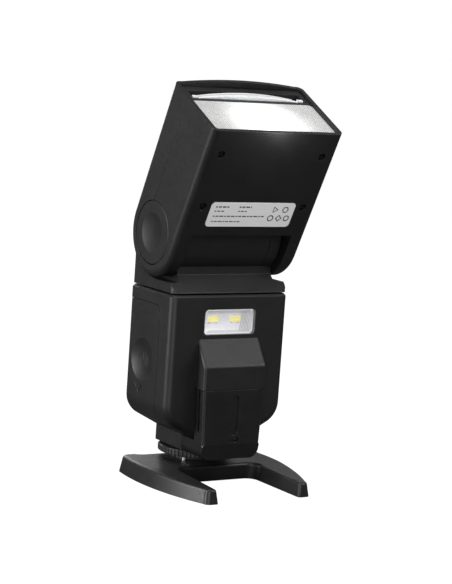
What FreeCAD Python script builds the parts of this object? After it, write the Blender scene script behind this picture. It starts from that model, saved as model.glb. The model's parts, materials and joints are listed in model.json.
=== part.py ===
import FreeCAD, Part
import math
import os

V = FreeCAD.Vector
X_AXIS = V(1, 0, 0)
Y_AXIS = V(0, 1, 0)
Z_AXIS = V(0, 0, 1)

# A shoe-mount flash that stands on its mini stand. Millimetres, +Z up.
# The origin is the centre of the tripod thread under the stand, -Y is the side that
# the lamp faces, and the cold shoe is centred above the origin.

# ---- driving dimensions -------------------------------------------------------------
BODY_WIDTH = 71.6
BODY_FRONT = -28.3
BODY_REAR = 17.7
BODY_TOP = 101.4
BODY_CORNER_RADIUS = 13.0
BODY_BOTTOM_HALF = 16.5
BODY_BOTTOM_Z = 24.6
BODY_EDGE_RADIUS = 4.0
WALL = 2.2
GAP = 0.3
SHELL_SPLIT_Y = 2.5
REAR_SCREW_X = 27.0
REAR_SCREW_Z = 95.4
REAR_BOSS_Y = 9.6

DOOR_FRONT = -15.6
DOOR_REAR = 14.2
DOOR_TOP = 94.2
DOOR_LIP_X = -19.5
DOOR_CORNER = 5.0
PIN_X = -34.7
PIN_Y = 14.2
PIN_RADIUS = 0.6
KNUCKLE_RADIUS = 1.1
KNUCKLE_BOTTOM = 44.0
DOOR_TRAVEL = 4.0
DISH_Y = 0.0
DISH_Z = 63.0
DISH_RADIUS = 11.5
ARROW_Y = 2.2
ARROW_Z = 47.2

HOOD_HALF = 19.0
HOOD_FRONT = -37.5
HOOD_FOLD_Z = 64.7
HOOD_TOP_Z = 78.0
HOOD_SEAM_Z = 52.5
COVER_CREASE_Z = 23.3
COVER_BOTTOM_Z = 14.9
COVER_HALF_BOTTOM = 17.3
COVER_REAR = -15.1

LAMP_HALF = 15.6
LAMP_LOW = 80.2
LAMP_HIGH = 93.7
CHIP_HALF = 3.9

NECK_Y = -5.3
NECK_LOW = 102.2
NECK_EDGE_Z = 102.6
NECK_END_TOP = 107.3
NECK_SPLIT_Y = -8.2
CRADLE_Y = -10.0
CRADLE_RADIUS = 35.7
CRADLE_TOP = 118.6
NECK_CROWN_Z = 111.0
STEM_TOP_Z = 117.5
STEM_HALF = 11.2
NECK_HALF = 35.3
WEDGE_HALF = 29.0
HUB_RADIUS = 12.95
HUB_HOLE = 13.0

TILT_Y = -8.2
TILT_Z = 131.9
TILT_ANGLE = 27.2
BARREL_RADIUS = 20.0
BARREL_HALF = 30.3
DRUM_START = 22.0
DRUM_GAP = 0.4
DRUM_END = 28.6
AXLE_RADIUS = 5.0

HEAD_HALF = 39.2
HEAD_LENGTH = 76.5
HEAD_FRONT = -23.0
HEAD_REAR_TIP = 25.2
HEAD_END_RADIUS = 23.0
HEAD_SPLIT_Y = 7.5
HEAD_SPLIT_Z = 7.5
EAR_INNER = 30.6
CUTOUT_EDGE = 13.75
CAP_RADIUS = 16.7

STAND_WEB_TOP = 9.0
STAND_TIP_TOP = 7.6
SHOE_FLOOR = 7.0
SHOE_RAIL_TOP = 10.4
SHOE_HALF = 12.1
SHOE_LENGTH_HALF = 9.9
SLOT_HALF = 9.45
FOOT_HALF = 9.3
THREAD_RADIUS = 2.6
THREAD_DEPTH = 5.6
WHEEL_RADIUS = 19.6
STEM_RADIUS = 5.9


# ---- shape helpers ------------------------------------------------------------------
def box(x0, x1, y0, y1, z0, z1):
    return Part.makeBox(x1 - x0, y1 - y0, z1 - z0, V(x0, y0, z0))


def rod(start, axis, radius, length):
    return Part.makeCylinder(radius, length, start, axis)


def tube(start, axis, outer, inner, length):
    return rod(start, axis, outer, length).cut(rod(start, axis, inner, length))


def fuse(shapes):
    result = shapes[0]
    if len(shapes) > 1:
        result = result.multiFuse(shapes[1:])
    return result.removeSplitter()


def group(shapes):
    return Part.makeCompound(shapes)


def in_plane(plane, u, v, w):
    """A point whose in-plane coordinates are u and v, at distance w along the normal."""
    if plane == "xy":
        return V(u, v, w)
    if plane == "xz":
        return V(u, w, v)
    return V(w, u, v)


def outline(plane, corners, level=0.0):
    """Closed wire through corners (u, v, radius); each corner with a radius is rounded."""
    edges = []
    starts = []
    ends = []
    count = len(corners)
    for i in range(count):
        u, v, radius = corners[i]
        before = corners[i - 1]
        after = corners[(i + 1) % count]
        here = V(u, v, 0)
        a = (V(before[0], before[1], 0) - here).normalize()
        b = (V(after[0], after[1], 0) - here).normalize()
        if radius <= 0:
            starts.append(here)
            ends.append(here)
            continue
        half = a.getAngle(b) / 2
        setback = radius / math.tan(half)
        centre = here + (a + b).normalize() * (radius / math.sin(half))
        first = here + a * setback
        last = here + b * setback
        middle = centre + (here - centre).normalize() * radius
        starts.append(first)
        ends.append(last)
        points = [in_plane(plane, p.x, p.y, level) for p in (first, middle, last)]
        edges.append(Part.Arc(points[0], points[1], points[2]).toShape())
    for i in range(count):
        last = ends[i]
        following = starts[(i + 1) % count]
        if (following - last).Length > 1e-6:
            start = in_plane(plane, last.x, last.y, level)
            end = in_plane(plane, following.x, following.y, level)
            edges.append(Part.makeLine(start, end))
    return Part.Wire(Part.__sortEdges__(edges))


def prism(plane, corners, start, end):
    """Solid of a rounded outline between two levels along the plane's normal."""
    face = Part.Face(outline(plane, corners, start))
    return face.extrude(in_plane(plane, 0, 0, end - start))


def rectangle(u0, u1, v0, v1, radius=0.0):
    return [(u0, v0, radius), (u1, v0, radius), (u1, v1, radius), (u0, v1, radius)]


def slab(plane, u0, u1, v0, v1, start, end, radius):
    return prism(plane, rectangle(u0, u1, v0, v1, radius), start, end)


def round_edges(shape, radius, wanted):
    edges = [edge for edge in shape.Edges if wanted(edge)]
    return shape.makeFillet(radius, edges)


def flat_at(low, high, level):
    return abs(low - level) < 1e-4 and abs(high - level) < 1e-4


def edge_in_x(level):
    """Picks edges that lie wholly in the plane x = level."""
    return lambda edge: flat_at(edge.BoundBox.XMin, edge.BoundBox.XMax, level)


def edge_in_y(level):
    return lambda edge: flat_at(edge.BoundBox.YMin, edge.BoundBox.YMax, level)


def edge_in_z(level):
    return lambda edge: flat_at(edge.BoundBox.ZMin, edge.BoundBox.ZMax, level)


def mirror_x(shape):
    return shape.mirror(V(0, 0, 0), X_AXIS)


def place_head(shape):
    """Moves a head part from its own upright frame to its tilted rest place."""
    placed = shape.copy()
    placed.rotate(V(0, 0, 0), X_AXIS, TILT_ANGLE)
    placed.translate(V(0, TILT_Y, TILT_Z))
    return placed


def screw(tip, axis, length, shaft, head, head_height):
    """Cross-head screw whose head's top is length behind its tip."""
    shank = rod(tip, axis, shaft, length - head_height)
    top = rod(tip + axis * (length - head_height), axis, head, head_height)
    slot_depth = head_height * 0.55
    floor = tip + axis * (length - slot_depth)
    side = Y_AXIS if abs(axis.y) < 0.9 else Z_AXIS
    across = axis.cross(side)
    result = shank.fuse(top)
    for along, other in ((side, across), (across, side)):
        reach = along * (head * 0.6)
        half_slot = other * (head * 0.11)
        corners = [floor - reach - half_slot, floor + reach - half_slot, floor + reach + half_slot,
                   floor - reach + half_slot, floor - reach - half_slot]
        slot = Part.Face(Part.makePolygon(corners)).extrude(axis * (slot_depth + 0.1))
        result = result.cut(slot)
    return result


# ---- stand --------------------------------------------------------------------------
def stand_outline(inset, level):
    """Two bowed legs joined by a web: tips at -Y, short heels at +Y."""
    tip_y = -68.1 + inset
    heel_y = 13.0 - inset
    tip_inner = 24.4 + inset
    tip_outer = 32.0 - inset
    notch_y = -23.0 - inset
    web_rear = 10.6 - inset
    bulge = V(41.3 - inset, -26.0, level)
    heel = V(40.0 - inset, heel_y - 4.0, level)
    right = [
        Part.makeLine(V(0, notch_y, level), V(18.5, notch_y, level)),
        Part.Arc(V(18.5, notch_y, level), V(22.4 + inset * 0.6, notch_y - 1.9, level),
                 V(tip_inner - 0.4, notch_y - 6.5, level)).toShape(),
        Part.makeLine(V(tip_inner - 0.4, notch_y - 6.5, level), V(tip_inner, tip_y + 1.5, level)),
        Part.Arc(V(tip_inner, tip_y + 1.5, level), V(tip_inner + 0.5, tip_y + 0.4, level),
                 V(tip_inner + 1.6, tip_y, level)).toShape(),
        Part.makeLine(V(tip_inner + 1.6, tip_y, level), V(tip_outer - 3.0, tip_y, level)),
        Part.Arc(V(tip_outer - 3.0, tip_y, level), V(tip_outer - 0.8, tip_y + 0.9, level),
                 V(tip_outer, tip_y + 3.0, level)).toShape(),
        Part.Arc(V(tip_outer, tip_y + 3.0, level), bulge, heel).toShape(),
        Part.Arc(heel, V(38.6 - inset, heel_y - 1.1, level), V(35.6 - inset, heel_y, level)).toShape(),
        Part.makeLine(V(35.6 - inset, heel_y, level), V(29.0 + inset, heel_y, level)),
        Part.Arc(V(29.0 + inset, heel_y, level), V(26.8 + inset * 0.7, heel_y - 1.8, level),
                 V(24.4, web_rear, level)).toShape(),
        Part.makeLine(V(24.4, web_rear, level), V(0, web_rear, level)),
    ]
    left = [mirror_x(edge) for edge in right]
    return Part.Wire(Part.__sortEdges__(right + left))


def make_stand_base():
    body = Part.makeLoft([stand_outline(0.0, 0.0), stand_outline(1.3, STAND_WEB_TOP)], True, True)
    slope = prism("yz", [(-24.0, STAND_WEB_TOP, 0), (-80.0, STAND_TIP_TOP - 0.4, 0), (-80.0, 20.0, 0),
                         (-24.0, 20.0, 0)], -60.0, 60.0)
    body = body.cut(slope)
    body = round_edges(body, 1.6, lambda edge: edge.BoundBox.ZMin > STAND_TIP_TOP - 0.3
                       and (edge.BoundBox.YLength > 0.5 or edge.BoundBox.YMin < -30 or edge.BoundBox.YMin > 8)
                       and edge.BoundBox.XLength < 36)
    pocket = box(-SHOE_HALF - 0.1, SHOE_HALF + 0.1, -10.1, 10.0, SHOE_FLOOR - 1.0, 20.0)
    channel = box(-SLOT_HALF - 0.2, SLOT_HALF + 0.2, 9.0, 30.0, SHOE_FLOOR - 0.1, 20.0)
    insert_hole = rod(V(0, 0, -1.0), Z_AXIS, 4.6, 20.0)
    body = body.cut(fuse([pocket, channel])).cut(insert_hole)
    for x in (-7.0, 7.0):
        body = body.cut(rod(V(x, -6.6, 1.5), Z_AXIS, 1.0, 10.0))
    return body


def make_cold_shoe():
    """Folded metal shoe: a floor plate and two rails that lip over the foot."""
    outer = slab("xy", -SHOE_HALF, SHOE_HALF, -SHOE_LENGTH_HALF, SHOE_LENGTH_HALF, SHOE_FLOOR - 1.0,
                 SHOE_RAIL_TOP, 1.2)
    slot = box(-SLOT_HALF, SLOT_HALF, -9.4, 11.0, SHOE_FLOOR, SHOE_FLOOR + 2.1)
    mouth = box(-6.3, 6.3, -9.4, 11.0, SHOE_FLOOR, 20.0)
    shoe = outer.cut(slot).cut(mouth)
    for x in (-7.0, 7.0):
        shoe = shoe.cut(Part.makeCone(1.1, 1.9, 1.0, V(x, -6.6, SHOE_FLOOR - 1.0), Z_AXIS))
    return shoe


def make_shoe_screws():
    screws = []
    for x in (-7.0, 7.0):
        cone = Part.makeCone(1.0, 1.8, 0.9, V(x, -6.6, SHOE_FLOOR - 0.95), Z_AXIS)
        screws.append(cone.fuse(rod(V(x, -6.6, 2.0), Z_AXIS, 0.95, SHOE_FLOOR - 2.9)))
    return group(screws)


def make_stand_insert():
    return tube(V(0, 0, 0), Z_AXIS, 4.6, THREAD_RADIUS, THREAD_DEPTH)


# ---- flash foot ---------------------------------------------------------------------
def make_foot_plate():
    plate = slab("xy", -FOOT_HALF, FOOT_HALF, -9.2, 9.2, 7.06, 9.0, 0.8)
    stem = rod(V(0, 0, 8.5), Z_AXIS, STEM_RADIUS, 8.5)
    flange = rod(V(0, 0, 17.0), Z_AXIS, 9.0, 1.6)
    pin_hole = rod(V(0, 0, 6.0), Z_AXIS, 1.4, 20.0)
    return fuse([plate, stem, flange]).cut(pin_hole)


def make_contact_pin():
    return rod(V(0, 0, 7.12), Z_AXIS, 1.0, 12.4).fuse(rod(V(0, 0, 18.7), Z_AXIS, 2.2, 1.0))


def make_clamp_plate():
    plate = slab("xy", -11.4, 11.4, -11.4, 11.4, 10.55, 11.45, 3.0)
    return plate.cut(rod(V(0, 0, 0), Z_AXIS, STEM_RADIUS + 0.1, 30.0))


def make_lock_wheel():
    """Knurled ring that runs on the stem's thread."""
    wheel = rod(V(0, 0, 11.5), Z_AXIS, WHEEL_RADIUS - 0.5, 3.6)
    wheel = wheel.makeFillet(0.5, [edge for edge in wheel.Edges if edge.BoundBox.ZLength < 0.01])
    ribs = []
    count = 54
    for i in range(count):
        angle = 360.0 * i / count
        rib = rod(V(WHEEL_RADIUS - 0.55, 0, 11.9), Z_AXIS, 0.55, 2.8)
        rib.rotate(V(0, 0, 0), Z_AXIS, angle)
        ribs.append(rib)
    wheel = wheel.multiFuse(ribs)
    recess = rod(V(0, 0, 13.9), Z_AXIS, WHEEL_RADIUS - 3.4, 5.0).cut(rod(V(0, 0, 13.0), Z_AXIS, 8.0, 6.0))
    bore = rod(V(0, 0, 0), Z_AXIS, STEM_RADIUS + 0.1, 30.0)
    return wheel.cut(recess).cut(bore)


def wheel_pocket():
    return rod(V(0, 0, 0), Z_AXIS, WHEEL_RADIUS + 0.6, 16.0)


def make_foot_block():
    block = slab("xy", -BODY_BOTTOM_HALF, BODY_BOTTOM_HALF, COVER_REAR + 0.1, 17.2, 16.0, 24.5, 0.0)
    block = block.makeFillet(5.0, [edge for edge in block.Edges
                                   if edge.BoundBox.ZLength > 8 and edge.BoundBox.YMin > 17])
    neck = rod(V(0, 0, 15.9), Z_AXIS, STEM_RADIUS + 0.02, 2.0)
    seat = rod(V(0, 0, 16.98), Z_AXIS, 9.05, 8.0)
    pocket = box(-12.0, 12.0, -12.5, 13.5, 18.7, 30.0)
    block = block.cut(neck).cut(seat).cut(pocket)
    for x in (-9.6, 9.6):
        for y in (-9.8, 10.4):
            block = block.cut(rod(V(x, y, 10.0), Z_AXIS, 1.0, 20.0))
    return block


def make_foot_screws():
    screws = []
    for x in (-9.6, 9.6):
        for y in (-9.8, 10.4):
            screws.append(screw(V(x, y, 16.2), Z_AXIS, 4.0, 0.95, 1.8, 1.2))
    return group(screws)


# ---- body ---------------------------------------------------------------------------
def case_corners(inset):
    """Front view of the case: upright sides, a round corner, then a slant to the foot."""
    half = BODY_WIDTH / 2 - inset
    radius = BODY_CORNER_RADIUS - inset
    bottom_half = BODY_BOTTOM_HALF - inset * 0.25
    slant = math.radians(28.0)
    floor = BODY_BOTTOM_Z + inset
    corner_z = floor + (half - bottom_half) * math.tan(slant)
    top = BODY_TOP - inset
    return [(-half, top, 0), (-half, corner_z, radius), (-bottom_half, floor, 0), (bottom_half, floor, 0),
            (half, corner_z, radius), (half, top, 0)]


def case_block(inset):
    front = BODY_FRONT + inset
    rear = BODY_REAR - inset
    block = prism("xz", case_corners(inset), front, rear)
    radius = BODY_EDGE_RADIUS - min(inset, 2.4)
    wanted = [edge for edge in block.Edges
              if (edge_in_y(front)(edge) or edge_in_y(rear)(edge))
              and edge.BoundBox.ZMin < BODY_TOP - inset - 1
              and not edge_in_z(BODY_BOTTOM_Z + inset)(edge)]
    return block.makeFillet(radius, wanted)


def hood_profile(inset):
    """Side view of the bulge above the seam."""
    slope = (HOOD_TOP_Z - HOOD_FOLD_Z) / (BODY_FRONT - HOOD_FRONT)
    drop = inset * math.sqrt(1 + slope * slope)
    front = HOOD_FRONT + inset
    depth = 3.0 if inset > 0 else 1.9
    rear = BODY_FRONT + depth
    fold = HOOD_FOLD_Z - drop + inset * slope
    top = HOOD_TOP_Z - drop + depth * slope
    return [(rear, HOOD_SEAM_Z, 0), (front, HOOD_SEAM_Z, 0), (front, fold, 2.5 - inset * 0.5), (rear, top, 0)]


def hood_block(inset):
    block = prism("yz", hood_profile(inset), -HOOD_HALF + inset, HOOD_HALF - inset)
    if inset > 0:
        return block
    front_corners = [edge for edge in block.Edges
                     if (edge_in_x(-HOOD_HALF)(edge) or edge_in_x(HOOD_HALF)(edge))
                     and edge.BoundBox.YMin < BODY_FRONT - 1 and not edge_in_z(HOOD_SEAM_Z)(edge)]
    return block.makeFillet(1.6, front_corners)


def cover_block(inset):
    """Lower front cover: narrows downwards, with its bottom end slanted back."""
    side = [(HOOD_FRONT + inset, HOOD_SEAM_Z - 0.25 + inset * 2, 0),
            (HOOD_FRONT + inset, COVER_CREASE_Z, 0),
            (HOOD_FRONT + 1.6 + inset, COVER_BOTTOM_Z + inset, 0),
            (COVER_REAR, COVER_BOTTOM_Z + inset, 0),
            (COVER_REAR, BODY_BOTTOM_Z - 0.1, 0),
            (BODY_FRONT - 0.1 + inset * 1.5, BODY_BOTTOM_Z - 0.1, 0),
            (BODY_FRONT - 0.1 + inset * 1.5, HOOD_SEAM_Z - 0.25 + inset * 2, 0)]
    top_half = HOOD_HALF - inset
    bottom_half = COVER_HALF_BOTTOM - inset
    across = [(-top_half, HOOD_SEAM_Z + 5, 0),
              (-bottom_half, COVER_BOTTOM_Z + inset, 5.0 - inset),
              (bottom_half, COVER_BOTTOM_Z + inset, 5.0 - inset),
              (top_half, HOOD_SEAM_Z + 5, 0)]
    block = prism("yz", side, -30.0, 30.0)
    return block.common(prism("xz", across, -60.0, 0.0))


def door_region(gap, inner_gap):
    """Side outline of the battery door, grown by gap, as a block over the left side."""
    front = DOOR_FRONT - gap
    rear = DOOR_REAR + inner_gap
    return prism("yz", [(front, 0.0, 0), (rear, 0.0, 0), (rear, DOOR_TOP + gap, 0),
                        (front, DOOR_TOP + gap, DOOR_CORNER)], -60.0, DOOR_LIP_X + gap)


def knuckle_seat():
    """Room in the shell for the knuckle, and for the edge below it, as the door slides and swings."""
    low = KNUCKLE_BOTTOM - DOOR_TRAVEL - 10.0
    return rod(V(PIN_X, PIN_Y, low), Z_AXIS, KNUCKLE_RADIUS + GAP, DOOR_TOP + GAP - low)


def door_swing_room():
    """Room at the rear corner for the door's outer face as it swings round its pin."""
    sweep = rod(V(PIN_X, PIN_Y, 34.0), Z_AXIS, 2.35, DOOR_TOP + GAP - 34.0)
    return sweep.common(box(-60.0, PIN_X, PIN_Y, 60.0, 0.0, 200.0))


def make_case():
    """Both case shells in one, before they are split."""
    hood = hood_block(0.0)
    outer = fuse([case_block(0.0), hood])
    top_edges = [edge for edge in outer.Edges if edge_in_z(BODY_TOP)(edge)]
    outer = outer.makeChamfer(1.1, top_edges)
    shell = outer.cut(case_block(WALL)).cut(hood_block(WALL))
    opening_behind_hood = box(-14.5, 14.5, BODY_FRONT - 1, BODY_FRONT + 4, 27.0, 66.0)
    lamp_hole = slab("xz", -LAMP_HALF, LAMP_HALF, LAMP_LOW, LAMP_HIGH, BODY_FRONT - 3, BODY_FRONT + 4, 2.2)
    neck_hole = rod(V(0, NECK_Y, 90.0), Z_AXIS, HUB_HOLE, 20.0)
    pin_hole = rod(V(PIN_X, PIN_Y, 90.0), Z_AXIS, PIN_RADIUS + 0.05, 10.4)
    foot_hole = box(-11.0, 11.0, -12.0, 13.0, 20.0, 30.0)
    shell = shell.cut(opening_behind_hood).cut(lamp_hole).cut(neck_hole).cut(foot_hole)
    shell = shell.cut(door_region(GAP, GAP)).cut(knuckle_seat()).cut(door_swing_room())
    pin_boss = box(-34.4, -31.6, PIN_Y - 3.0, BODY_REAR - 1.0, DOOR_TOP + GAP, BODY_TOP - 1.5)
    shell = shell.fuse(pin_boss.common(case_block(1.0))).cut(pin_hole)
    for y in (-24.0, 13.4):
        boss = tube(V(25.0, y, 28.5), Z_AXIS, 2.4, 1.0, 12.0).common(case_block(1.0))
        shell = shell.fuse(boss)
    return shell.removeSplitter()


def largest_solid(shape):
    return max(shape.Solids, key=lambda solid: solid.Volume)


def make_front_shell(case):
    keep = box(-60, 60, -60, SHELL_SPLIT_Y - 0.03, -10, 200)
    return largest_solid(case.common(keep))


def make_rear_shell(case):
    keep = box(-60, 60, SHELL_SPLIT_Y + 0.03, 60, -10, 200)
    shell = largest_solid(case.common(keep))
    window = slab("xz", -21.0, 21.0, 68.0, 90.0, 10.0, 30.0, 1.5)
    shell = shell.cut(window)
    for x, z, radius in button_places():
        shell = shell.cut(rod(V(x, 10.0, z), Y_AXIS, radius + GAP, 20.0))
    switch_slot = slab("xz", -7.0, 7.0, 38.4, 42.2, 10.0, 30.0, 0.4)
    shell = shell.cut(switch_slot)
    for x in (-REAR_SCREW_X, REAR_SCREW_X):
        boss = tube(V(x, REAR_BOSS_Y, REAR_SCREW_Z), Y_AXIS, 3.2, 1.2, 6.6)
        shell = shell.cut(rod(V(x, REAR_BOSS_Y - 1.0, REAR_SCREW_Z), Y_AXIS, 1.9, 30.0))
        shell = shell.fuse(boss).removeSplitter()
    return shell


def make_body_screws():
    tips = [V(x, REAR_BOSS_Y + 0.4, REAR_SCREW_Z) for x in (-REAR_SCREW_X, REAR_SCREW_X)]
    return group([screw(tip, Y_AXIS, 7.4, 1.15, 1.8, 1.2) for tip in tips])


def make_front_cover():
    outer = cover_block(0.0)
    edges = [edge for edge in outer.Edges
             if edge.BoundBox.YMax < HOOD_FRONT + 2.0 and edge.BoundBox.ZLength > 5.0
             and abs(edge.BoundBox.XMin) > 15.0]
    outer = outer.makeFillet(1.6, edges)
    shell = outer.cut(cover_block(1.8))
    shell = shell.cut(wheel_pocket())
    slot = slab("xz", -0.8, 3.2, 27.8, 49.0, HOOD_FRONT - 1, HOOD_FRONT + 0.7, 1.9)
    half_moon = rod(V(1.6, HOOD_FRONT - 1, 25.9), Y_AXIS, 2.6, 4.0).common(
        box(-4, 8, HOOD_FRONT - 2, HOOD_FRONT + 6, 24.4, 26.4))
    shell = shell.cut(slot).cut(half_moon)
    groove = box(0, 40, -33.6, -31.8, 30.0, 60.0)
    for side in (groove, mirror_x(groove)):
        depth = cover_block(1.1)
        shell = shell.cut(side.cut(depth))
    return largest_solid(shell)


def make_photo_sensor():
    return rod(V(1.6, HOOD_FRONT + 2.2, 25.4), Y_AXIS, 1.5, 1.6)


def make_sensor_board():
    return box(-8.0, 10.0, HOOD_FRONT + 3.8, HOOD_FRONT + 4.8, 18.0, 29.5)


def make_lamp_window():
    """Clear window with upright ribs on its right part and level ribs near its long edges."""
    pane = slab("xz", -LAMP_HALF + 0.15, LAMP_HALF - 0.15, LAMP_LOW + 0.15, LAMP_HIGH - 0.15,
                BODY_FRONT - 0.4, BODY_FRONT + 1.2, 2.0)
    pane = round_edges(pane, 0.3, edge_in_y(BODY_FRONT - 0.4))
    ribs = []
    for i in range(7):
        x = 6.4 + i * 1.15
        ribs.append(rod(V(x, BODY_FRONT + 1.2, LAMP_LOW + 2.2), Z_AXIS, 0.35, LAMP_HIGH - LAMP_LOW - 4.4))
    for i in range(2):
        for z in (LAMP_LOW + 0.8 + i * 0.8, LAMP_HIGH - 0.8 - i * 0.8):
            ribs.append(rod(V(-13.0, BODY_FRONT + 1.2, z), X_AXIS, 0.3, 26.0))
    return pane.multiFuse(ribs)


def make_lamp_tray():
    outer = slab("xz", -LAMP_HALF - 1.4, LAMP_HALF + 1.4, LAMP_LOW - 1.2, LAMP_HIGH + 1.2,
                 BODY_FRONT + 2.3, BODY_FRONT + 7.0, 2.0)
    front = outline("xz", rectangle(-LAMP_HALF + 0.1, LAMP_HALF - 0.1, LAMP_LOW + 0.1, LAMP_HIGH - 0.1, 2.0),
                    BODY_FRONT + 2.0)
    back = outline("xz", rectangle(-LAMP_HALF + 2.0, LAMP_HALF - 2.0, LAMP_LOW + 2.0, LAMP_HIGH - 2.0, 1.0),
                   BODY_FRONT + 5.4)
    return outer.cut(Part.makeLoft([front, back], True, True))


def make_lamp_chips():
    chips = []
    for x in (-7.6, 6.0):
        chip = slab("xz", x - CHIP_HALF, x + CHIP_HALF, 85.9, 90.1, BODY_FRONT + 4.5, BODY_FRONT + 5.4, 0.4)
        chips.append(chip)
    return group(chips)


def make_lamp_board():
    return box(-15.5, 15.5, BODY_FRONT + 7.0, BODY_FRONT + 8.2, 80.0, 94.0)


def battery_centres():
    return [(-1.5 + (2.0 if i % 2 else -2.0), 43.7 + 14.5 * i) for i in range(4)]


def make_battery_tray():
    """Block with four bores for AA cells that load from the left."""
    block = box(-31.0, 21.6, -12.3, 9.3, 35.3, 95.6).common(case_block(WALL + 0.5))
    for y, z in battery_centres():
        block = block.cut(rod(V(-40.0, y, z), X_AXIS, 7.25, 60.4))
    return largest_solid(block)


def make_tray_contacts():
    contacts = []
    for y, z in battery_centres():
        contacts.append(rod(V(19.7, y, z), X_AXIS, 5.0, 0.6))
    return group(contacts)


def make_main_capacitor():
    can = rod(V(0, -24.4, 30.0), Z_AXIS, 9.9, 34.0)
    return can.makeFillet(0.8, [edge for edge in can.Edges if edge.BoundBox.ZLength < 0.01])


def make_main_board():
    return box(-28.0, 30.0, -14.1, -12.8, 40.0, 96.0)


def make_transformer():
    core = box(18.0, 30.0, -24.0, -14.1, 46.0, 60.0)
    return core.fuse(box(20.0, 28.0, -25.2, -24.0, 48.0, 58.0)).removeSplitter()


def make_control_board():
    return box(-28.0, 28.0, 10.6, 11.8, 41.0, 91.6)


def button_places():
    """Button centres and radii on the rear face: x, z, radius."""
    return [(-19.0, 56.0, 3.6), (-6.4, 56.0, 3.6), (6.4, 56.0, 3.6), (19.0, 56.0, 3.6)]


def make_button(place):
    x, z, radius = place
    cap = rod(V(x, 15.3, z), Y_AXIS, radius, 3.3)
    cap = round_edges(cap, 0.4, edge_in_y(18.6))
    flange = rod(V(x, 14.5, z), Y_AXIS, radius + 0.9, 0.8)
    return fuse([cap, flange])


def make_tact_switches():
    return group([box(x - 1.6, x + 1.6, 11.8, 13.5, z - 1.6, z + 1.6) for x, z, radius in button_places()])


def make_display_module():
    return box(-22.5, 22.5, 11.8, 14.6, 66.5, 91.5)


def make_display_window():
    pane = slab("xz", -20.85, 20.85, 68.15, 89.85, 15.6, 18.0, 1.4)
    return round_edges(pane, 0.3, edge_in_y(18.0))


def make_power_switch():
    knob = box(-6.6, -2.4, 15.2, 18.9, 38.8, 41.8)
    knob = knob.makeFillet(0.5, [edge for edge in knob.Edges if edge_in_y(18.9)(edge)])
    for i in range(3):
        knob = knob.cut(box(-5.8 + i * 1.1, -5.4 + i * 1.1, 18.5, 19.5, 38.0, 43.0))
    slider = box(-8.8, -0.2, 14.2, 15.2, 37.6, 43.0)
    return fuse([knob, slider])


# ---- battery door -------------------------------------------------------------------
def make_battery_door():
    region = prism("yz", [(DOOR_FRONT, 0.0, 0), (DOOR_REAR, 0.0, 0), (DOOR_REAR, DOOR_TOP, 0),
                          (DOOR_FRONT, DOOR_TOP, DOOR_CORNER)], -60.0, DOOR_LIP_X)
    door = case_block(0.0).cut(case_block(WALL)).common(region)
    knuckle = rod(V(PIN_X, PIN_Y, KNUCKLE_BOTTOM), Z_AXIS, KNUCKLE_RADIUS, DOOR_TOP - KNUCKLE_BOTTOM)
    half = BODY_WIDTH / 2
    pad = rod(V(-half + WALL - 0.5, DISH_Y, DISH_Z), X_AXIS, DISH_RADIUS + 1.4, 1.3)
    door = fuse([door, knuckle, pad])
    depth = 2.3
    ball = (DISH_RADIUS ** 2 + depth ** 2) / (2 * depth)
    door = door.cut(Part.makeSphere(ball, V(-half - ball + depth, DISH_Y, DISH_Z)))
    ridges = []
    for i in range(-2, 3):
        angle = math.radians(20.0)
        y = DISH_Y + i * 2.4 * math.cos(angle)
        z = DISH_Z + i * 2.4 * math.sin(angle)
        ridge = rod(V(-half + depth + 0.1, y, z - 4.0 + abs(i)), Z_AXIS, 0.5, 8.0 - 2 * abs(i))
        ridges.append(ridge)
    door = door.multiFuse(ridges)
    arrow = arrow_prism(4.2, 2.4).cut(arrow_prism(3.0, 1.7))
    door = door.cut(arrow)
    door = door.cut(rod(V(PIN_X, PIN_Y, 50.0), Z_AXIS, PIN_RADIUS + 0.05, 60.0))
    return largest_solid(door)


def arrow_prism(half_width, half_height):
    """Engraved triangle that points down, the way the door slides."""
    half = BODY_WIDTH / 2
    return prism("yz", [(ARROW_Y - half_width, ARROW_Z + half_height, 0),
                        (ARROW_Y + half_width, ARROW_Z + half_height, 0),
                        (ARROW_Y, ARROW_Z - half_height, 0)], -half - 1.0, -half + 0.3)


def make_door_pin():
    return rod(V(PIN_X, PIN_Y, 50.3), Z_AXIS, PIN_RADIUS, 49.5)


def make_door_contacts():
    centres = battery_centres()
    plates = []
    for first in (0, 2):
        y0 = centres[first][0]
        z0 = centres[first][1]
        z1 = centres[first + 1][1]
        plate = box(-32.0, -31.6, y0 - 2.0, y0 + 6.0, z0 - 3.0, z1 + 3.0)
        post = box(-33.5, -32.0, y0 + 0.5, y0 + 3.5, z0 + 5.0, z0 + 9.0)
        plates.append(plate.fuse(post).cut(dish_backing()))
    return group(plates)


def dish_backing():
    half = BODY_WIDTH / 2
    return rod(V(-half, DISH_Y, DISH_Z), X_AXIS, DISH_RADIUS + 1.5, WALL + 0.9)


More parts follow.
